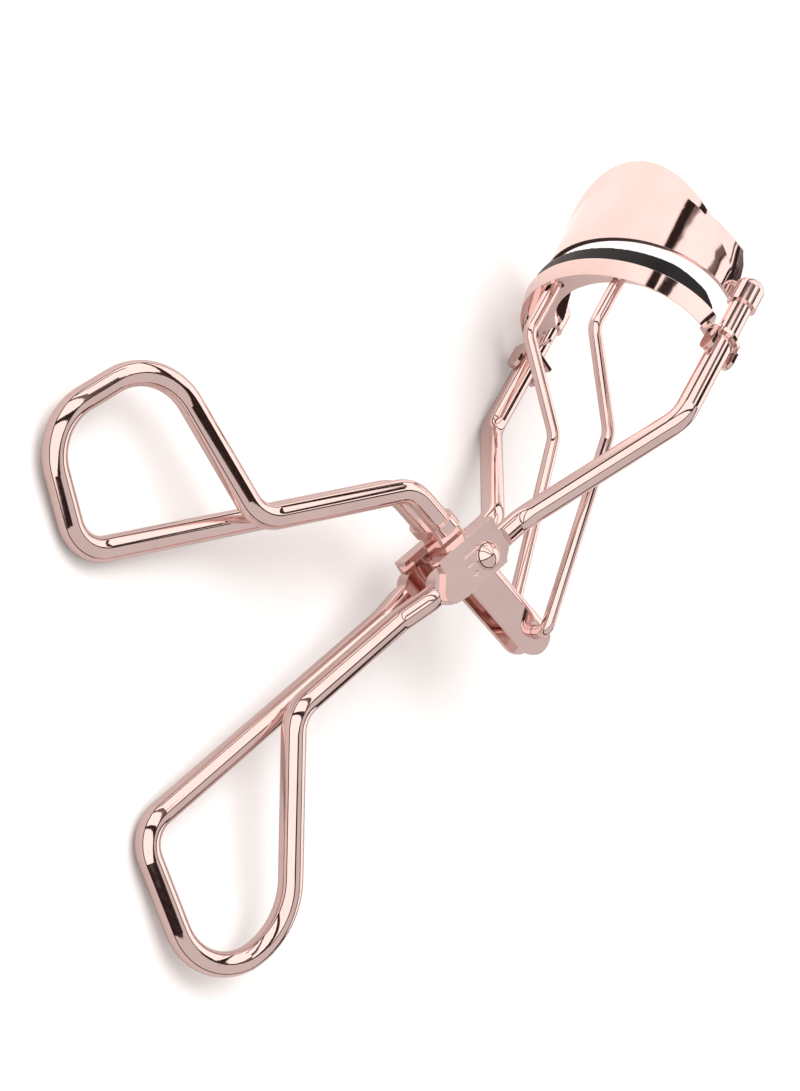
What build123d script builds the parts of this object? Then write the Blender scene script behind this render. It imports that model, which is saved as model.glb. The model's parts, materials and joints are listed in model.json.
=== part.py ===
"""Eyelash curler: two wire handles, a riveted pivot, a lever and link, and a pair of curved jaws.

Drawn upright in millimetres: x is the pivot's axis, z runs up the rails to the jaws and y points
to the lever's nose. The tool is the same left and right but for the wire crossing over in its
finger rings. At the end every piece is laid down on its left side, as the curler rests on a table.
"""

import os
from math import cos, radians, sin

from build123d import *

# Wires and sheet
wire_diameter = 2.8
link_diameter = 1.6
sheet = 0.55
strand_x = 1.5  # half the spacing of a handle's two strands

# Rails, neck and flattened eyes of the frame wire
rail_x = 16.8
rail_y = 5.6
rail_top = 42.6
rail_bend = 23.3
neck_reach = 7.65  # from the pivot up to where the rails spread
eye_x = 2.6  # half the spacing of the flattened eyes
eye_thickness = 1.7
eye_width = 4.1
eye_reach_up = 3.9
eye_reach_down = 8.4
splay_reach = 13.1  # where the two strands come together below the pivot

# Handles: angles are measured from the rails' direction
frame_angle = 20.4
frame_kink = 30.7  # from the pivot to the start of the finger ring
handle_angle = 44.2
handle_kink = 21.4  # from the elbow to the start of the finger ring
elbow_reach = -11.7  # elbow and leg ends, along the lever's line from the pivot
leg_end = -5.2

# Finger rings: corners as (distance past the kink, bulge off the strand), and their bend radii
frame_ring = [(13.3, 20.0), (25.2, 17.7), (21.7, 0)]
frame_ring_bends = [4, 9, 6.5, 4]
handle_ring = [(8.7, -19.4), (23.6, -14.0), (21.2, 0)]
handle_ring_bends = [4, 7, 6.5, 4]

# Pivot rivet
rivet_radius = 0.95
rivet_head_radius = 1.7
rivet_head_height = 1.1
running_clearance = 0.05

# Lever: an upturned channel along its own line, which slopes down to the nose
lever_slope = 5.7
lever_half_width = 1.65
lever_radius = 2.5
lever_drop = 0.75  # its middle line under the pivot
lever_shoulder = 1.2  # bend between the web and each flange, outside
pin_drop = 0.45  # the link's pin and the handle's legs under the pivot
pin_reach = 12.7
sleeve_length = 1.3
sleeve_sheet = 0.4
tail_reach = -2.4  # the channel's hollow starts here
knob_reach = -3.7
knob_radius = 0.9
knob_height = 1.9

# Link wire: x, y and z of its bends on the right side
link_pin_x = 3.4
link_knee = (4.8, 6.1, 22.2)
link_shoulder = (5.8, -3.7, 30.3)
link_top = 38.6

# Jaws: half ellipses in planes that slope down towards the rails
jaw_slope = 11.3
jaw_middle_y = 3.9
upper_jaw_level = 41.4
upper_jaw_radii = (15.2, 9.5)
upper_jaw_lean = 0.04
lower_jaw_level = 35.4
lower_jaw_radii = (15.3, 9.95)
jaw_end = 4.7
dome_crease = (-6.0, 51.4)  # y and z where the crease crosses the middle of the wall
crease_slope = 42
dome_flare = 17
dome_top = 53.7
dome_shoulder = (12.9, 47.9)
dome_side = [(13.8, 47.5), (14.8, 46.8), (16, 45.4)]
wing_end = [(3.4, 46.2), (5.8, 43.0)]  # y and z of the slope from each wing down to its roll
roll_bottom = 39.6
roll_top = 43.2
roll_radius = wire_diameter / 2 + 0.4

# Lower jaw's channel: a section that flares outwards, with its floor above the outer wall's foot
channel_flare = 24
channel_sheet = 0.5
channel_height = 2.15
channel_foot = 1.05
pad_width = 3.1
pad_height = 4.0
pad_end = 3.5
pad_taper = [(-2.5, 39.95), (1.2, 38.6), (3.0, 37.4), (pad_end, 36.0)]  # y and z of its falling ends
slide_clearance = 0.08
ear_reach = 2.05
ear_half_depth = 2.2
lug_x = 16.9
lug_radius = 0.9
lug_bottom = 31.8
slot_width = 1.8
slot_length = 2.5
slot_y = -3.9
slot_top = 39.1

wire_radius = wire_diameter / 2
channel_width = pad_width + 2 * channel_sheet
link_radius = link_diameter / 2


def handle_point(start, angle, along, bulge, x):
    """A point of a handle: along its strands from start (y, z), and bulge off them towards +y."""
    y = start[0] - along * sin(radians(angle)) + bulge * cos(radians(angle))
    z = start[1] - along * cos(radians(angle)) - bulge * sin(radians(angle))
    return (x, y, z)


def ring_points(start, angle, kink, ring):
    """A finger ring's corners, from its kink on the right strand to its corner on the left one."""
    points = [handle_point(start, angle, kink, 0, strand_x)]
    for (along, bulge), x in zip(ring, [strand_x / 3, -strand_x / 3, -strand_x]):
        points.append(handle_point(start, angle, kink + along, bulge, x))
    return points


def mirrored(points):
    """The same points on the tool's other side, in the opposite order."""
    return [(-x, y, z) for x, y, z in reversed(points)]


def lever_point(along, up):
    """A point (y, z) given along the lever's line from the pivot, and square to it."""
    slope = radians(lever_slope)
    return (along * cos(slope) + up * sin(slope), up * cos(slope) - along * sin(slope))


elbow = lever_point(elbow_reach, -pin_drop)
strand_side = Plane(
    origin=(0, 0, 0),
    x_dir=(0, sin(radians(frame_angle)), cos(radians(frame_angle))),
    z_dir=(-1, 0, 0),
)  # local x runs up the frame's strands, local y towards the lever's nose
lever_side = Plane(
    origin=(0, 0, 0),
    x_dir=(0, cos(radians(lever_slope)), -sin(radians(lever_slope))),
    z_dir=(1, 0, 0),
)


def lever_section(along):
    """The plane square to the lever's line at a place along it, its y upwards."""
    return Plane(origin=(0, *lever_point(along, 0)), x_dir=(-1, 0, 0), z_dir=lever_side.x_dir)


jaw_normal = (0, sin(radians(jaw_slope)), cos(radians(jaw_slope)))
lower_jaw_plane = Plane(origin=(0, 0, lower_jaw_level), x_dir=(1, 0, 0), z_dir=jaw_normal)
upper_jaw_plane = Plane(origin=(0, 0, upper_jaw_level), x_dir=(1, 0, 0), z_dir=jaw_normal)

# Frame wire: rail, neck, strand, finger ring and back up the other side
eye_inner = eye_x - eye_thickness / 2
eye_outer = eye_x + eye_thickness / 2
eye_length = eye_reach_up + eye_reach_down
eye_middle = ((eye_reach_up - eye_reach_down) / 2, 0)
right_rail = [
    (rail_x, rail_y, rail_top),
    (rail_x, rail_y, rail_bend),
    handle_point((0, 0), frame_angle, -neck_reach, 0, eye_x),
    handle_point((0, 0), frame_angle, eye_reach_down + 0.6, 0, eye_x),
    handle_point((0, 0), frame_angle, splay_reach, 0, strand_x),
]
rail_bends = [4, 4, 3, 3]
frame_ring_points = ring_points((0, 0), frame_angle, frame_kink, frame_ring)
frame_points = right_rail + frame_ring_points + mirrored(right_rail)

with BuildPart() as frame_wire:
    with BuildLine() as frame_path:
        FilletPolyline(*frame_points, radius=rail_bends + frame_ring_bends + rail_bends[::-1])
    with BuildSketch(Plane(origin=frame_points[0], z_dir=(0, 0, -1))):
        Circle(wire_radius)
    sweep(path=frame_path.line)
    # Flatten both strands where the rivet goes through them
    with BuildSketch(strand_side):
        with Locations(eye_middle):
            Rectangle(eye_length, 2 * eye_width)
    extrude(amount=eye_inner, both=True, mode=Mode.SUBTRACT)
    for side in (1, -1):
        with BuildSketch(strand_side.offset(side * eye_outer)):
            with Locations(eye_middle):
                Rectangle(eye_length, 2 * eye_width)
        extrude(amount=side * wire_radius, mode=Mode.SUBTRACT)
        with BuildSketch(strand_side.offset(side * eye_inner)):
            with Locations(eye_middle):
                SlotOverall(eye_length, eye_width)
        extrude(amount=side * eye_thickness)
    with BuildSketch(strand_side):
        Circle(rivet_radius)
    extrude(amount=eye_outer, both=True, mode=Mode.SUBTRACT)

# Cheeks: side plates over the eyes, folded in along the edge that faces the lever handle
cheek_outline = [
    (3.0, -2.8),
    (2.9, 0.7),
    (2.0, 2.2),
    (-5.2, 2.2),
    (-6.9, 1.9),
    (-7.8, 1.0),
    (-7.5, -0.1),
    (-6.3, -1.7),
    (-6.4, -2.8),
]
cheek_marks = [(-1.9, -1.8, 2.6), (-2.8, -0.6, 1.0), (-2.6, 0.7, 0.9)]
cheek_outer = eye_outer + sheet
lip_reach = 1.8

with BuildPart() as right_cheek:
    with BuildSketch(strand_side.offset(-eye_outer)):
        with BuildLine():
            Polyline(*cheek_outline, close=True)
        make_face()
        Circle(rivet_radius, mode=Mode.SUBTRACT)
    extrude(amount=-sheet)
    with BuildSketch(strand_side.offset(-cheek_outer)):
        with Locations((-1.7, -2.8)):
            Rectangle(9.4, sheet, align=(Align.CENTER, Align.MAX))
    extrude(amount=lip_reach)
    with BuildSketch(strand_side.offset(-cheek_outer)):
        for along, across, length in cheek_marks:
            with Locations((along, across)):
                SlotOverall(length, 0.55)
    extrude(amount=0.2, mode=Mode.SUBTRACT)

with BuildPart() as left_cheek:
    add(mirror(right_cheek.part, about=Plane.YZ, mode=Mode.PRIVATE))

# Rivet: a shank through the whole pivot, domed at both ends
dome_radius = (rivet_head_radius**2 + rivet_head_height**2) / (2 * rivet_head_height)
rivet_end = cheek_outer + rivet_head_height

with BuildPart() as pivot_rivet:
    with BuildSketch(Plane.XY):
        with BuildLine():
            Line((0, 0), (rivet_end, 0))
            RadiusArc((rivet_end, 0), (cheek_outer, rivet_head_radius), -dome_radius)
            Polyline(
                (cheek_outer, rivet_head_radius), (cheek_outer, rivet_radius), (0, rivet_radius), (0, 0)
            )
        make_face()
    revolve(axis=Axis.X)
    mirror(about=Plane.YZ)

# Handle wire: leg, elbow, strand, finger ring and back to the other leg
right_leg = [(strand_x, *lever_point(leg_end, -pin_drop)), (strand_x, *elbow)]
handle_ring_points = ring_points(elbow, handle_angle, handle_kink, handle_ring)
handle_points = right_leg + handle_ring_points + mirrored(right_leg)

with BuildPart() as handle_wire:
    with BuildLine() as handle_path:
        FilletPolyline(*handle_points, radius=[4, *handle_ring_bends, 4])
    with BuildSketch(Plane(origin=handle_path.line @ 0, z_dir=handle_path.line % 0)):
        Circle(wire_radius)
    sweep(path=handle_path.line)

# Lever: channel nose with its web on top, and a sleeve pressed round the handle wire's legs
web_top = lever_radius - lever_drop
knob_plane = Plane(origin=(0, *lever_point(knob_reach, 0)), x_dir=(1, 0, 0), z_dir=lever_side.y_dir)
sleeve_plane = Plane(
    origin=(0, *lever_point(leg_end, -pin_drop)), x_dir=(1, 0, 0), z_dir=handle_path.line % 0
)

with BuildPart() as lever:
    with BuildSketch(lever_side):
        with Locations((0, -lever_drop), (pin_reach, -lever_drop)):
            Circle(lever_radius)
        with Locations((leg_end, -pin_drop)):
            Circle(wire_radius)
        make_hull()
    extrude(amount=lever_half_width, both=True)
    with BuildSketch(lever_section(-2 * pin_reach)):
        with Locations((0, web_top)):
            RectangleRounded(
                2 * lever_half_width,
                4 * lever_radius,
                lever_shoulder,
                align=(Align.CENTER, Align.MAX),
            )
    extrude(amount=4 * pin_reach, mode=Mode.INTERSECT)
    with BuildSketch(lever_section(tail_reach)):
        with Locations((0, web_top - sheet)):
            RectangleRounded(
                2 * (lever_half_width - sheet),
                4 * lever_radius,
                lever_shoulder - sheet,
                align=(Align.CENTER, Align.MAX),
            )
    extrude(amount=2 * pin_reach, mode=Mode.SUBTRACT)
    with BuildSketch(lever_side):
        with Locations((leg_end, 0)):
            Rectangle(3 * lever_radius, 4 * lever_radius, align=(Align.MAX, Align.CENTER))
    extrude(amount=lever_half_width, both=True, mode=Mode.SUBTRACT)
    with BuildSketch(sleeve_plane):
        SlotOverall(2 * (strand_x + wire_radius + sleeve_sheet), wire_diameter + 2 * sleeve_sheet)
        with Locations((strand_x, 0), (-strand_x, 0)):
            Circle(wire_radius, mode=Mode.SUBTRACT)
    extrude(amount=sleeve_length)
    with BuildSketch(knob_plane):
        Circle(knob_radius)
    extrude(amount=knob_height)
    fillet(lever.edges().filter_by(GeomType.CIRCLE).sort_by(Axis.Z)[-1], 0.7 * knob_radius)
    with BuildSketch(lever_side):
        Circle(rivet_radius + running_clearance)
        with Locations((pin_reach, -pin_drop)):
            Circle(link_radius + running_clearance)
    extrude(amount=lever_half_width, both=True, mode=Mode.SUBTRACT)

# Link wire: a U through the lever's nose, whose two tips stand in slots in the lower jaw's floor
right_link = [
    (link_shoulder[0], link_shoulder[1], link_top),
    link_shoulder,
    link_knee,
    (link_pin_x, *lever_point(pin_reach, -pin_drop)),
]

with BuildPart() as link_wire:
    with BuildLine() as link_path:
        FilletPolyline(*right_link, *mirrored(right_link), radius=[2, 3, 1.2, 1.2, 3, 2])
    with BuildSketch(Plane(origin=right_link[0], z_dir=(0, 0, -1))):
        Circle(link_radius)
    sweep(path=link_path.line)

# Upper jaw: dome-topped sheet that flares above a crease, with its ends rolled round the rails' tops
upper_jaw_foot = Plane.XY.move(Location((0, 3 * upper_jaw_lean, upper_jaw_level - 3)))
crease_plane = Plane(
    origin=(0, *dome_crease),
    x_dir=(1, 0, 0),
    z_dir=(0, sin(radians(crease_slope)), cos(radians(crease_slope))),
)

with BuildPart() as upper_jaw:
    for inset, mode in ((0, Mode.ADD), (sheet, Mode.SUBTRACT)):
        x_radius = upper_jaw_radii[0] - inset
        y_radius = upper_jaw_radii[1] - inset
        with BuildSketch(upper_jaw_foot):
            with Locations((0, jaw_middle_y)):
                Ellipse(x_radius, y_radius)
                Rectangle(3 * x_radius, 2 * y_radius, align=(Align.CENTER, Align.MIN), mode=Mode.SUBTRACT)
                Rectangle(2 * x_radius, rail_y - jaw_middle_y, align=(Align.CENTER, Align.MIN))
        extrude(amount=20, dir=(0, -upper_jaw_lean, 1), mode=mode)
    split(bisect_by=crease_plane, keep=Keep.BOTTOM)
    crease_face = upper_jaw.faces().filter_by(crease_plane)[0]
    extrude(crease_face, amount=8, dir=(0, -sin(radians(dome_flare)), cos(radians(dome_flare))))
    with BuildSketch(Plane.XZ):
        with BuildLine():
            left_side = [(-x, z) for x, z in reversed(dome_side)]
            left_shoulder = (-dome_shoulder[0], dome_shoulder[1])
            ThreePointArc(left_shoulder, (0, dome_top), dome_shoulder)
            Polyline(dome_shoulder, *dome_side, (16, 30), (-16, 30), *left_side, left_shoulder)
        make_face()
    extrude(amount=20, both=True, mode=Mode.INTERSECT)
    with BuildSketch(Plane.YZ):
        with BuildLine():
            Polyline((wing_end[0][0], 60), *wing_end, (9, 43), (9, 60), close=True)
        make_face()
    extrude(amount=20, both=True, mode=Mode.SUBTRACT)
    split(bisect_by=upper_jaw_plane, keep=Keep.TOP)
    for rail_axis in (Axis((rail_x, rail_y, 0), (0, 0, 1)), Axis((-rail_x, rail_y, 0), (0, 0, 1))):
        with BuildSketch(Plane(origin=rail_axis.position, x_dir=(1, 0, 0), z_dir=(0, -1, 0))) as roll:
            with Locations((0, roll_bottom)):
                Rectangle(roll_radius, roll_top - roll_bottom, align=Align.MIN)
            fillet(roll.vertices().group_by(Axis.Y)[-1].sort_by(Axis.X)[-1], 1.2)
        revolve(axis=rail_axis)
    with BuildSketch(Plane.XY.offset(roll_bottom)):
        with Locations((rail_x, rail_y), (-rail_x, rail_y)):
            Circle(wire_radius)
    extrude(amount=rail_top - roll_bottom, mode=Mode.SUBTRACT)

# Lower jaw: flared channel for the pad, with an ear at each end that slides on a rail
with BuildLine(lower_jaw_plane) as jaw_path:
    half_width = lower_jaw_radii[0]
    Line((-half_width, jaw_end), (-half_width, jaw_middle_y))
    EllipticalCenterArc((0, jaw_middle_y), *lower_jaw_radii, start_angle=180, arc_size=180)
    Line((half_width, jaw_middle_y), (half_width, jaw_end))
floor_direction = Vector(cos(radians(channel_flare)), 0, 0) + Vector(jaw_normal) * sin(radians(channel_flare))
section = Plane(origin=jaw_path.line @ 0, x_dir=floor_direction, z_dir=jaw_path.line % 0)
floor_top = channel_foot + channel_sheet
ear_drop = jaw_end * sin(radians(jaw_slope))

with BuildPart() as lower_jaw:
    with BuildSketch(section):
        Rectangle(channel_width, channel_height, align=Align.MIN)
        with Locations((channel_sheet, 0)):
            Rectangle(channel_width, channel_foot, align=Align.MIN, mode=Mode.SUBTRACT)
        with Locations((channel_sheet, floor_top)):
            Rectangle(pad_width, channel_height, align=Align.MIN, mode=Mode.SUBTRACT)
    sweep(path=jaw_path.line)
    with BuildSketch(Plane.YZ):
        with BuildLine():
            Polyline(
                (pad_end, 50),
                (pad_end, lower_jaw_level + 1.4),
                (jaw_end, lower_jaw_level - ear_drop + sheet),
                (jaw_end, 50),
                close=True,
            )
        make_face()
    extrude(amount=20, both=True, mode=Mode.SUBTRACT)
    with BuildSketch(Plane.XY.offset(lower_jaw_level - 5)):
        with Locations((0, pad_end - 0.2)):
            Rectangle(2 * (half_width - 1.5), 5, align=(Align.CENTER, Align.MIN))
    extrude(amount=10, mode=Mode.SUBTRACT)
    with BuildSketch(lower_jaw_plane):
        with Locations((0, rail_y)):
            RectangleRounded(2 * (rail_x + ear_reach), 2 * ear_half_depth, 2)
        with Locations((0, rail_y)):
            Rectangle(2 * (half_width - 0.6), 3 * ear_half_depth, mode=Mode.SUBTRACT)
    extrude(amount=sheet)
    for lug_y in (rail_y - ear_half_depth, rail_y + ear_half_depth - sheet):
        lug_top = lower_jaw_level - (lug_y + sheet) * sin(radians(jaw_slope)) + sheet / 2
        with BuildSketch(Plane.XZ.offset(-lug_y)):
            with Locations((lug_x, lug_bottom + lug_radius), (-lug_x, lug_bottom + lug_radius)):
                Circle(lug_radius)
                Rectangle(
                    2 * lug_radius, lug_top - lug_bottom - lug_radius, align=(Align.CENTER, Align.MIN)
                )
        extrude(amount=-sheet)
    with BuildSketch(Plane.XY.offset(lug_bottom)):
        with Locations((rail_x, rail_y), (-rail_x, rail_y)):
            Circle(wire_radius + slide_clearance)
    extrude(amount=8, mode=Mode.SUBTRACT)
    with BuildSketch(Plane.XY.offset(lower_jaw_level)):
        with Locations((link_shoulder[0], slot_y), (-link_shoulder[0], slot_y)):
            SlotOverall(slot_length, slot_width, rotation=90)
    extrude(amount=slot_top - lower_jaw_level, mode=Mode.SUBTRACT)

# Pad: rubber strip standing in the channel, hollowed where the link's tips come through the floor
with BuildPart() as pad:
    with BuildSketch(section):
        with BuildLine():
            Polyline(
                (channel_sheet, floor_top),
                (channel_sheet, channel_height),
                (channel_sheet + 0.2, pad_height),
                (channel_sheet + pad_width - 0.9, pad_height - 0.9),
                (channel_sheet + pad_width, channel_height + 0.1),
                (channel_sheet + pad_width, floor_top),
                close=True,
            )
        make_face()
    sweep(path=jaw_path.line)
    with BuildSketch(Plane.YZ):
        with BuildLine():
            Polyline((-2.5, 50), *pad_taper, (pad_end, 30), (9, 30), (9, 50), close=True)
        make_face()
    extrude(amount=20, both=True, mode=Mode.SUBTRACT)
    with BuildSketch(Plane.XY.offset(lower_jaw_level)):
        with Locations((link_shoulder[0], slot_y), (-link_shoulder[0], slot_y)):
            SlotOverall(slot_length, slot_width, rotation=90)
    extrude(amount=slot_top - lower_jaw_level, mode=Mode.SUBTRACT)

pieces = {
    "frame_wire": frame_wire,
    "right_cheek": right_cheek,
    "left_cheek": left_cheek,
    "pivot_rivet": pivot_rivet,
    "handle_wire": handle_wire,
    "lever": lever,
    "link_wire": link_wire,
    "upper_jaw": upper_jaw,
    "lower_jaw": lower_jaw,
    "pad": pad,
}

# Lay the tool on its left side: it rests on the left rail's bend and on the left of both rings
frame_corners = frame_path.line.edges().filter_by(GeomType.CIRCLE)
handle_corners = handle_path.line.edges().filter_by(GeomType.CIRCLE)
rail_rest = frame_corners[-1] @ 0.5
frame_rest = frame_corners[7] @ 0.5
handle_rest = handle_corners[4] @ 0.5
table_normal = (frame_rest - rail_rest).cross(handle_rest - rail_rest).normalized()
if table_normal.X < 0:
    table_normal = -table_normal
tool_length = Vector(0, 0, 1) - table_normal * table_normal.Z
table = Plane(origin=rail_rest, x_dir=tool_length, z_dir=table_normal)
onto_table = table.location.inverse()
extent = Compound([piece.part.moved(onto_table) for piece in pieces.values()]).bounding_box()
centring = Location((-extent.center().X, -extent.center().Y, -extent.min.Z))

os.makedirs("parts", exist_ok=True)
for name, piece in pieces.items():
    piece.part = piece.part.moved(centring * onto_table)
    piece.part.label = name
    export_step(piece.part, f"parts/{name}.step")
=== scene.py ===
"""Eyelash curler: rose-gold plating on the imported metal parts, a turned rivet and a moulded rubber pad,
in a plain pale studio."""

import json
from math import asin, cos, sin, tau

import bmesh
import bpy
from mathutils import Matrix, Vector


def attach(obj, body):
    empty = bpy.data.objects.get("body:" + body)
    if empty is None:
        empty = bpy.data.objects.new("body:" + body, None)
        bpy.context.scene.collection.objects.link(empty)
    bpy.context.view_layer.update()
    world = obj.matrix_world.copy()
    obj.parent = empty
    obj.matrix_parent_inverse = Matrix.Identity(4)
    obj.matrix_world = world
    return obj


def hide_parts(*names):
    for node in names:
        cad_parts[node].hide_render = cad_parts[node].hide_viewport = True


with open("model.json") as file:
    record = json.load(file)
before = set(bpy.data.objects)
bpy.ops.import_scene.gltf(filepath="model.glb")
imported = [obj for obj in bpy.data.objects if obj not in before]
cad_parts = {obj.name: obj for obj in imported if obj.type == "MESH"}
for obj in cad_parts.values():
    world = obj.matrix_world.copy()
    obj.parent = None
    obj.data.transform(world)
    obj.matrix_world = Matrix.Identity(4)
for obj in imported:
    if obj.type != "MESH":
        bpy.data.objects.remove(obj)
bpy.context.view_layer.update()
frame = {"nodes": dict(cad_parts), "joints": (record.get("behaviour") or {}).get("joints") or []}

MM = 0.001
nodes = frame["nodes"]
scene = bpy.context.scene

# Camera, at the photograph's viewing angle
CAMERA_PLACE = (-0.15823, 0.18244, 0.21541)
CAMERA_RIGHT = Vector((0.33456, -0.54487, 0.76887))
CAMERA_UP = Vector((0.80838, 0.58527, 0.06300))
CAMERA_LENS = 128.65
SENSOR_WIDTH = 36

# Rose-gold plating: its colour, and how far the colour and the polish vary over the surface
ROSE_GOLD = (0.87, 0.68, 0.645)
ROSE_GOLD_DEEP = (0.83, 0.63, 0.595)
ROSE_GOLD_PAINTED_CREVICE_TINT = (0.84, 0.76, 0.74)  # painted greyer tint where metal faces metal, standing in for light bouncing between the parts
PAINTED_TINT_REACH = 3 * MM
POLISH = (0.035, 0.075)
POLISH_RELIEF = 0.004 * MM
# How closely the polishing marks lie, along each axis, on bent wire and on stamped sheet
WIRE_GRAIN = (900, 900, 900)
SHEET_GRAIN = (500, 500, 2600)
SHEET_EDGE = 0.09 * MM

# Pivot rivet, as in the CAD: its shank, its heads, and how far along the axis each head starts
RIVET_RADIUS = 0.95 * MM
RIVET_HEAD_RADIUS = 1.7 * MM
RIVET_HEAD_HEIGHT = 1.1 * MM
RIVET_REACH = 4.0 * MM
RIVET_UNDERCUT = 0.04 * MM
DOME_STEPS = 12
TURNS = 64

# The room that the metal reflects, by direction. Planes are given by their normals, and distances from
# them are sines: the planes that bound the white panels' corner, and the bands across it as (plane,
# distance, half width, colour)
PANEL_SIDES = ((0.37, 0.93, 0.07), (0.90, -0.05, -0.43))
SEAM_DARK = (0.03, 0.018, 0.016)
CARD_BROWN = (0.20, 0.15, 0.14)
PANEL_BANDS = (
    ((-0.89, 0.43, 0.17), 0.005, 0.026, CARD_BROWN),
    ((-0.89, 0.43, 0.17), -0.034, 0.007, SEAM_DARK),
    ((-0.21, 0.95, 0.22), 0.0, 0.035, SEAM_DARK),
    ((0.99, 0.08, -0.05), 0.0, 0.045, SEAM_DARK),
)
BORDER = 0.12  # dark strip along the panels' outline
SEAM_EDGE = 0.012
SKIRTING = 0.13  # dark strip above the floor
CARD_WAY = (0.69, 0.64, 0.34)
CARD_SIDE = (-0.62, 0.30, 0.72)
CARD_LENGTH = (0.965, 0.975)
CARD_HALF_WIDTH = 0.05

WALL_GREY = (0.70, 0.655, 0.645)
PANEL_WHITE = (1.36, 1.27, 1.23)

# The floor and what is behind it: as the camera sees them, and as the metal reflects them, where the
# floor carries a painted pool of light along x past the edge below, at the jaws' end
FLOOR_SEEN = (0.97, 0.97, 0.97)
FLOOR_PALE = (0.9, 0.895, 0.89)
FLOOR_REFLECTED = (0.54, 0.50, 0.49)
FLOOR_REFLECTED_PAINTED_POOL = (0.93, 0.86, 0.84)
FLOOR_PAINTED_POOL_EDGE = (0.035, 0.055)
FLOOR_HALF_SIZE = 4
FLOOR_GAP = 0.1 * MM

# Key lamp, and how often light may bounce
KEY_PLACE = (0.3, 0.5, 1.2)
KEY_SIZE = 1.0
KEY_POWER = 12
# The lever's channel and the pivot are mirrors facing each other, which go black with fewer bounces
MAX_BOUNCES = 20
GLOSSY_BOUNCES = 16

# Rubber pad
RUBBER = (0.006, 0.006, 0.006)
RUBBER_DUSTY = (0.012, 0.011, 0.011)
RUBBER_SATIN = (0.30, 0.42)
RUBBER_SPECULAR = 0.25
PAD_VOXEL = 0.11  # mm
PAD_SMOOTHINGS = 9


def make_camera():
    """The camera at CAMERA_PLACE, looking along the way that its right and up leave."""
    data = bpy.data.cameras.new("camera")
    data.lens = CAMERA_LENS
    data.sensor_width = SENSOR_WIDTH
    data.sensor_fit = "HORIZONTAL"
    data.clip_start, data.clip_end = 0.01, 20
    camera = bpy.data.objects.new("camera", data)
    scene.collection.objects.link(camera)
    right = CAMERA_RIGHT.normalized()
    back = right.cross(CAMERA_UP).normalized()
    up = back.cross(right)
    turn = Matrix((right, up, back)).transposed().to_4x4()
    camera.matrix_world = Matrix.Translation(CAMERA_PLACE) @ turn
    scene.camera = camera


class Nodes:
    """Short calls for building one node tree."""

    def __init__(self, tree):
        self.tree = tree
        self.tree.nodes.clear()

    def add(self, kind, inputs=None, **settings):
        node = self.tree.nodes.new(kind)
        for name, value in settings.items():
            setattr(node, name, value)
        for name, value in (inputs or {}).items():
            if isinstance(value, bpy.types.NodeSocket):
                self.tree.links.new(value, node.inputs[name])
            else:
                node.inputs[name].default_value = value
        return node

    def noise(self, coords, scale, detail=2.0, roughness=0.5):
        return self.add(
            "ShaderNodeTexNoise",
            {"Vector": coords, "Scale": scale, "Detail": detail, "Roughness": roughness},
        ).outputs["Fac"]

    def spread(self, value, low, high, to_low, to_high, smooth=False):
        """value's range low to high, mapped to the range to_low to to_high."""
        return self.add(
            "ShaderNodeMapRange",
            {"Value": value, "From Min": low, "From Max": high, "To Min": to_low, "To Max": to_high},
            interpolation_type="SMOOTHSTEP" if smooth else "LINEAR",
        ).outputs["Result"]

    def mix(self, share, first, second):
        node = self.add("ShaderNodeMix", data_type="RGBA")
        for index, value in ((0, share), (6, first), (7, second)):
            if isinstance(value, bpy.types.NodeSocket):
                self.tree.links.new(value, node.inputs[index])
            else:
                node.inputs[index].default_value = value if index == 0 else (*value, 1)
        return node.outputs[2]

    def math(self, operation, first, second):
        node = self.add("ShaderNodeMath", operation=operation)
        for index, value in enumerate((first, second)):
            if isinstance(value, bpy.types.NodeSocket):
                self.tree.links.new(value, node.inputs[index])
            else:
                node.inputs[index].default_value = value
        return node.outputs[0]


def rose_gold(name, grain, edge):
    """Polished rose-gold plating, with a painted greyer tint in occluded crevices standing in for light
    bouncing between the parts. grain is how closely its polishing marks lie along x, y and z, and edge is
    the radius in metres that softens its sharp stamped edges."""
    material = bpy.data.materials.new(name)
    material.use_nodes = True
    build = Nodes(material.node_tree)
    place = build.add("ShaderNodeTexCoord").outputs["Object"]
    along = build.add("ShaderNodeMapping", {"Vector": place, "Scale": grain}).outputs["Vector"]
    tone = build.noise(place, 140, detail=3)
    marks = build.noise(along, 1, detail=4, roughness=0.6)
    specks = build.noise(place, 5200, detail=1)
    colour = build.mix(build.spread(tone, 0.35, 0.65, 0, 1), ROSE_GOLD, ROSE_GOLD_DEEP)
    # painted shade: ambient occlusion greys the colour in crevices, standing in for light bounced between
    # the parts
    painted_tint_openness = build.add("ShaderNodeAmbientOcclusion", {"Distance": PAINTED_TINT_REACH}, samples=6).outputs["AO"]
    colour = build.mix(build.spread(painted_tint_openness, 0.2, 0.6, 1, 0), colour, ROSE_GOLD_PAINTED_CREVICE_TINT)
    rubbed = build.math("ADD", build.math("MULTIPLY", marks, 0.7), build.math("MULTIPLY", specks, 0.3))
    polish = build.spread(rubbed, 0.35, 0.65, *POLISH)
    relief = build.add("ShaderNodeBump", {"Strength": 0.05, "Distance": POLISH_RELIEF, "Height": marks})
    if edge:
        softened = build.add("ShaderNodeBevel", {"Radius": edge}, samples=4).outputs["Normal"]
        material.node_tree.links.new(softened, relief.inputs["Normal"])
    shader = build.add(
        "ShaderNodeBsdfPrincipled",
        {"Base Color": colour, "Metallic": 1.0, "Roughness": polish, "Normal": relief.outputs["Normal"]},
    )
    build.add("ShaderNodeOutputMaterial", {"Surface": shader.outputs["BSDF"]})
    return material


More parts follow.
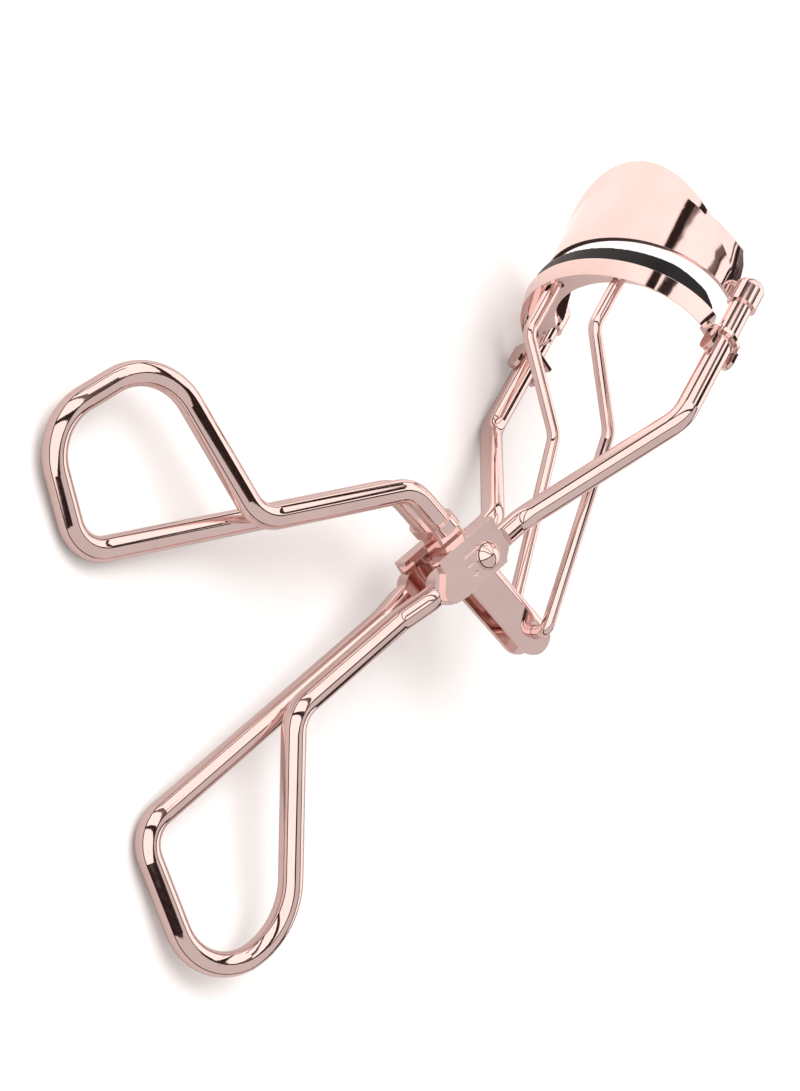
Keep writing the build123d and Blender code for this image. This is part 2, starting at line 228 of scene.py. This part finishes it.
def rubber(name):
    """Satin black moulded rubber, with a fine grain and a faint dusty tone."""
    material = bpy.data.materials.new(name)
    material.use_nodes = True
    build = Nodes(material.node_tree)
    place = build.add("ShaderNodeTexCoord").outputs["Object"]
    dust = build.noise(place, 420, detail=4, roughness=0.6)
    grain = build.noise(place, 9000, detail=2)
    colour = build.mix(build.spread(dust, 0.45, 0.75, 0, 1), RUBBER, RUBBER_DUSTY)
    satin = build.spread(dust, 0.3, 0.7, *RUBBER_SATIN)
    relief = build.add(
        "ShaderNodeBump", {"Strength": 0.25, "Distance": 0.00003, "Height": grain}
    ).outputs["Normal"]
    shader = build.add(
        "ShaderNodeBsdfPrincipled",
        {
            "Base Color": colour,
            "Roughness": satin,
            "Specular IOR Level": RUBBER_SPECULAR,
            "Normal": relief,
        },
    )
    build.add("ShaderNodeOutputMaterial", {"Surface": shader.outputs["BSDF"]})
    return material


def make_pad(material):
    """The rubber pad, moulded from its CAD solid: voxels and smoothing round its edges."""
    solid = bpy.data.meshes.new_from_object(nodes["pad"])
    solid.transform(Matrix.Scale(1 / MM, 4))
    rough = bpy.data.objects.new("pad_rough", solid)
    scene.collection.objects.link(rough)
    voxels = rough.modifiers.new("voxels", "REMESH")
    voxels.mode = "VOXEL"
    voxels.voxel_size = PAD_VOXEL
    voxels.use_smooth_shade = True
    rounding = rough.modifiers.new("rounding", "SMOOTH")
    rounding.factor = 0.5
    rounding.iterations = PAD_SMOOTHINGS
    mesh = bpy.data.meshes.new_from_object(rough.evaluated_get(bpy.context.evaluated_depsgraph_get()))
    bpy.data.objects.remove(rough)
    mesh.transform(Matrix.Scale(MM, 4))
    mesh.materials.clear()
    mesh.materials.append(material)
    for face in mesh.polygons:
        face.use_smooth = True
    pad = bpy.data.objects.new("pad_strip", mesh)
    scene.collection.objects.link(pad)
    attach(pad, "lower_jaw")
    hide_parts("pad")


def make_rivet(material):
    """The pivot rivet, turned about the lever's hinge: a shank with a domed head at each end."""
    hinge = next(joint for joint in frame["joints"] if joint["name"] == "lever_hinge")
    axis = Vector(hinge["axis"]).normalized()
    dome_radius = (RIVET_HEAD_RADIUS**2 + RIVET_HEAD_HEIGHT**2) / (2 * RIVET_HEAD_HEIGHT)
    dome_centre = RIVET_REACH + RIVET_HEAD_HEIGHT - dome_radius
    widest = asin(RIVET_HEAD_RADIUS / dome_radius)
    head = [
        (dome_radius * sin(angle), dome_centre + dome_radius * cos(angle))
        for angle in (widest * step / DOME_STEPS for step in range(1, DOME_STEPS + 1))
    ]
    half = head + [(RIVET_HEAD_RADIUS - RIVET_UNDERCUT, RIVET_REACH), (RIVET_RADIUS, RIVET_REACH)]
    outline = half + [(radius, -along) for radius, along in reversed(half)]
    shape = bmesh.new()
    rings = [
        [
            shape.verts.new((radius * cos(tau * turn / TURNS), radius * sin(tau * turn / TURNS), along))
            for turn in range(TURNS)
        ]
        for radius, along in outline
    ]
    for first, second in zip(rings, rings[1:]):
        for turn in range(TURNS):
            after = (turn + 1) % TURNS
            shape.faces.new((first[turn], second[turn], second[after], first[after]))
    for ring, along in ((rings[0], 1), (rings[-1], -1)):
        tip = shape.verts.new((0, 0, along * (RIVET_REACH + RIVET_HEAD_HEIGHT)))
        for turn in range(TURNS):
            shape.faces.new((tip, ring[turn], ring[(turn + 1) % TURNS]))
    bmesh.ops.recalc_face_normals(shape, faces=shape.faces)
    for face in shape.faces:
        face.smooth = True
    mesh = bpy.data.meshes.new("rivet_turned")
    shape.to_mesh(mesh)
    shape.free()
    mesh.materials.append(material)
    rivet = bpy.data.objects.new("rivet_turned", mesh)
    rivet.location = Vector(hinge["pos_m"])
    rivet.rotation_euler = axis.to_track_quat("Z", "Y").to_euler()
    scene.collection.objects.link(rivet)
    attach(rivet, "frame")
    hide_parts("pivot_rivet")


def make_floor():
    """The pale floor. The camera sees it plain, and the metal sees it darker, with a painted pool of
    light at the jaws' end.
    """
    material = bpy.data.materials.new("floor")
    material.use_nodes = True
    build = Nodes(material.node_tree)
    seen = build.add("ShaderNodeLightPath").outputs["Is Glossy Ray"]
    place = build.add("ShaderNodeTexCoord").outputs["Object"]
    along = build.add("ShaderNodeSeparateXYZ", {"Vector": place}).outputs["X"]
    # painted pool of light on the floor past the jaws' end, seen only in the metal's reflections
    painted_pool = build.spread(along, *FLOOR_PAINTED_POOL_EDGE, 0, 1, smooth=True)
    colour = build.mix(seen, FLOOR_PALE, build.mix(painted_pool, FLOOR_REFLECTED, FLOOR_REFLECTED_PAINTED_POOL))
    shader = build.add("ShaderNodeBsdfPrincipled", {"Base Color": colour, "Roughness": 0.9})
    build.add("ShaderNodeOutputMaterial", {"Surface": shader.outputs["BSDF"]})
    mesh = bpy.data.meshes.new("floor")
    shape = bmesh.new()
    bmesh.ops.create_grid(shape, x_segments=2, y_segments=2, size=FLOOR_HALF_SIZE)
    shape.to_mesh(mesh)
    shape.free()
    mesh.materials.append(material)
    floor = bpy.data.objects.new("floor", mesh)
    floor.location.z = -FLOOR_GAP
    scene.collection.objects.link(floor)


def make_key_light():
    """A soft lamp above the part. It lights the floor and casts the shadow, unseen in the metal."""
    data = bpy.data.lights.new("key", "AREA")
    data.shape = "RECTANGLE"
    data.size = data.size_y = KEY_SIZE
    data.energy = KEY_POWER
    light = bpy.data.objects.new("key", data)
    light.location = KEY_PLACE
    light.rotation_euler = (-Vector(KEY_PLACE)).to_track_quat("-Z", "Y").to_euler()
    light.visible_glossy = False
    scene.collection.objects.link(light)


def make_room():
    """The room that the metal reflects: grey walls, a large corner of white panels with dark seams, and a
    brown card. The camera itself sees plain pale walls."""
    world = bpy.data.worlds.new("room")
    scene.world = world
    world.use_nodes = True
    build = Nodes(world.node_tree)
    way = build.add("ShaderNodeTexCoord").outputs["Generated"]

    def side(normal):
        """How far a direction is to one side of the plane with that normal, as a sine."""
        unit = tuple(Vector(normal).normalized())
        return build.add(
            "ShaderNodeVectorMath", {0: way, 1: unit}, operation="DOT_PRODUCT"
        ).outputs["Value"]

    def strip(normal, offset, half_width):
        """1 in the strip beside that plane, and 0 off it."""
        off = build.math("ABSOLUTE", build.math("SUBTRACT", side(normal), offset), 0.0)
        return build.spread(off, half_width, half_width + SEAM_EDGE, 1, 0, smooth=True)

    corner = build.math("MAXIMUM", side(PANEL_SIDES[0]), side(PANEL_SIDES[1]))
    white = build.spread(corner, 0, SEAM_EDGE, 0, 1, smooth=True)
    border = build.spread(corner, -BORDER, -BORDER + SEAM_EDGE, 0, 1, smooth=True)
    walls = build.mix(border, WALL_GREY, SEAM_DARK)
    walls = build.mix(white, walls, PANEL_WHITE)
    for normal, offset, half_width, shade in PANEL_BANDS:
        walls = build.mix(build.math("MULTIPLY", strip(normal, offset, half_width), white), walls, shade)
    near_card = build.spread(side(CARD_WAY), *CARD_LENGTH, 0, 1, smooth=True)
    card = build.math("MULTIPLY", strip(CARD_SIDE, 0, CARD_HALF_WIDTH), near_card)
    walls = build.mix(card, walls, CARD_BROWN)
    height = build.add("ShaderNodeSeparateXYZ", {"Vector": way}).outputs["Z"]
    low = build.spread(height, SKIRTING, SKIRTING + SEAM_EDGE, 1, 0, smooth=True)
    walls = build.mix(low, walls, SEAM_DARK)
    seen = build.add("ShaderNodeLightPath").outputs["Is Camera Ray"]
    colour = build.mix(seen, walls, FLOOR_SEEN)
    background = build.add("ShaderNodeBackground", {"Color": colour, "Strength": 1.0})
    build.add("ShaderNodeOutputWorld", {"Surface": background.outputs["Background"]})


make_camera()
make_room()
make_key_light()
scene.cycles.max_bounces = MAX_BOUNCES
scene.cycles.glossy_bounces = GLOSSY_BOUNCES
make_floor()
scene.view_settings.view_transform = "Standard"

wire = rose_gold("rose_gold_wire", WIRE_GRAIN, 0)
stamped = rose_gold("rose_gold_sheet", SHEET_GRAIN, SHEET_EDGE)
for name, node in nodes.items():
    if name in ("pad", "pivot_rivet"):
        continue
    finish = wire if name.endswith("wire") else stamped
    for material_slot in node.material_slots:
        material_slot.material = finish
make_rivet(wire)
make_pad(rubber("pad_rubber_satin"))
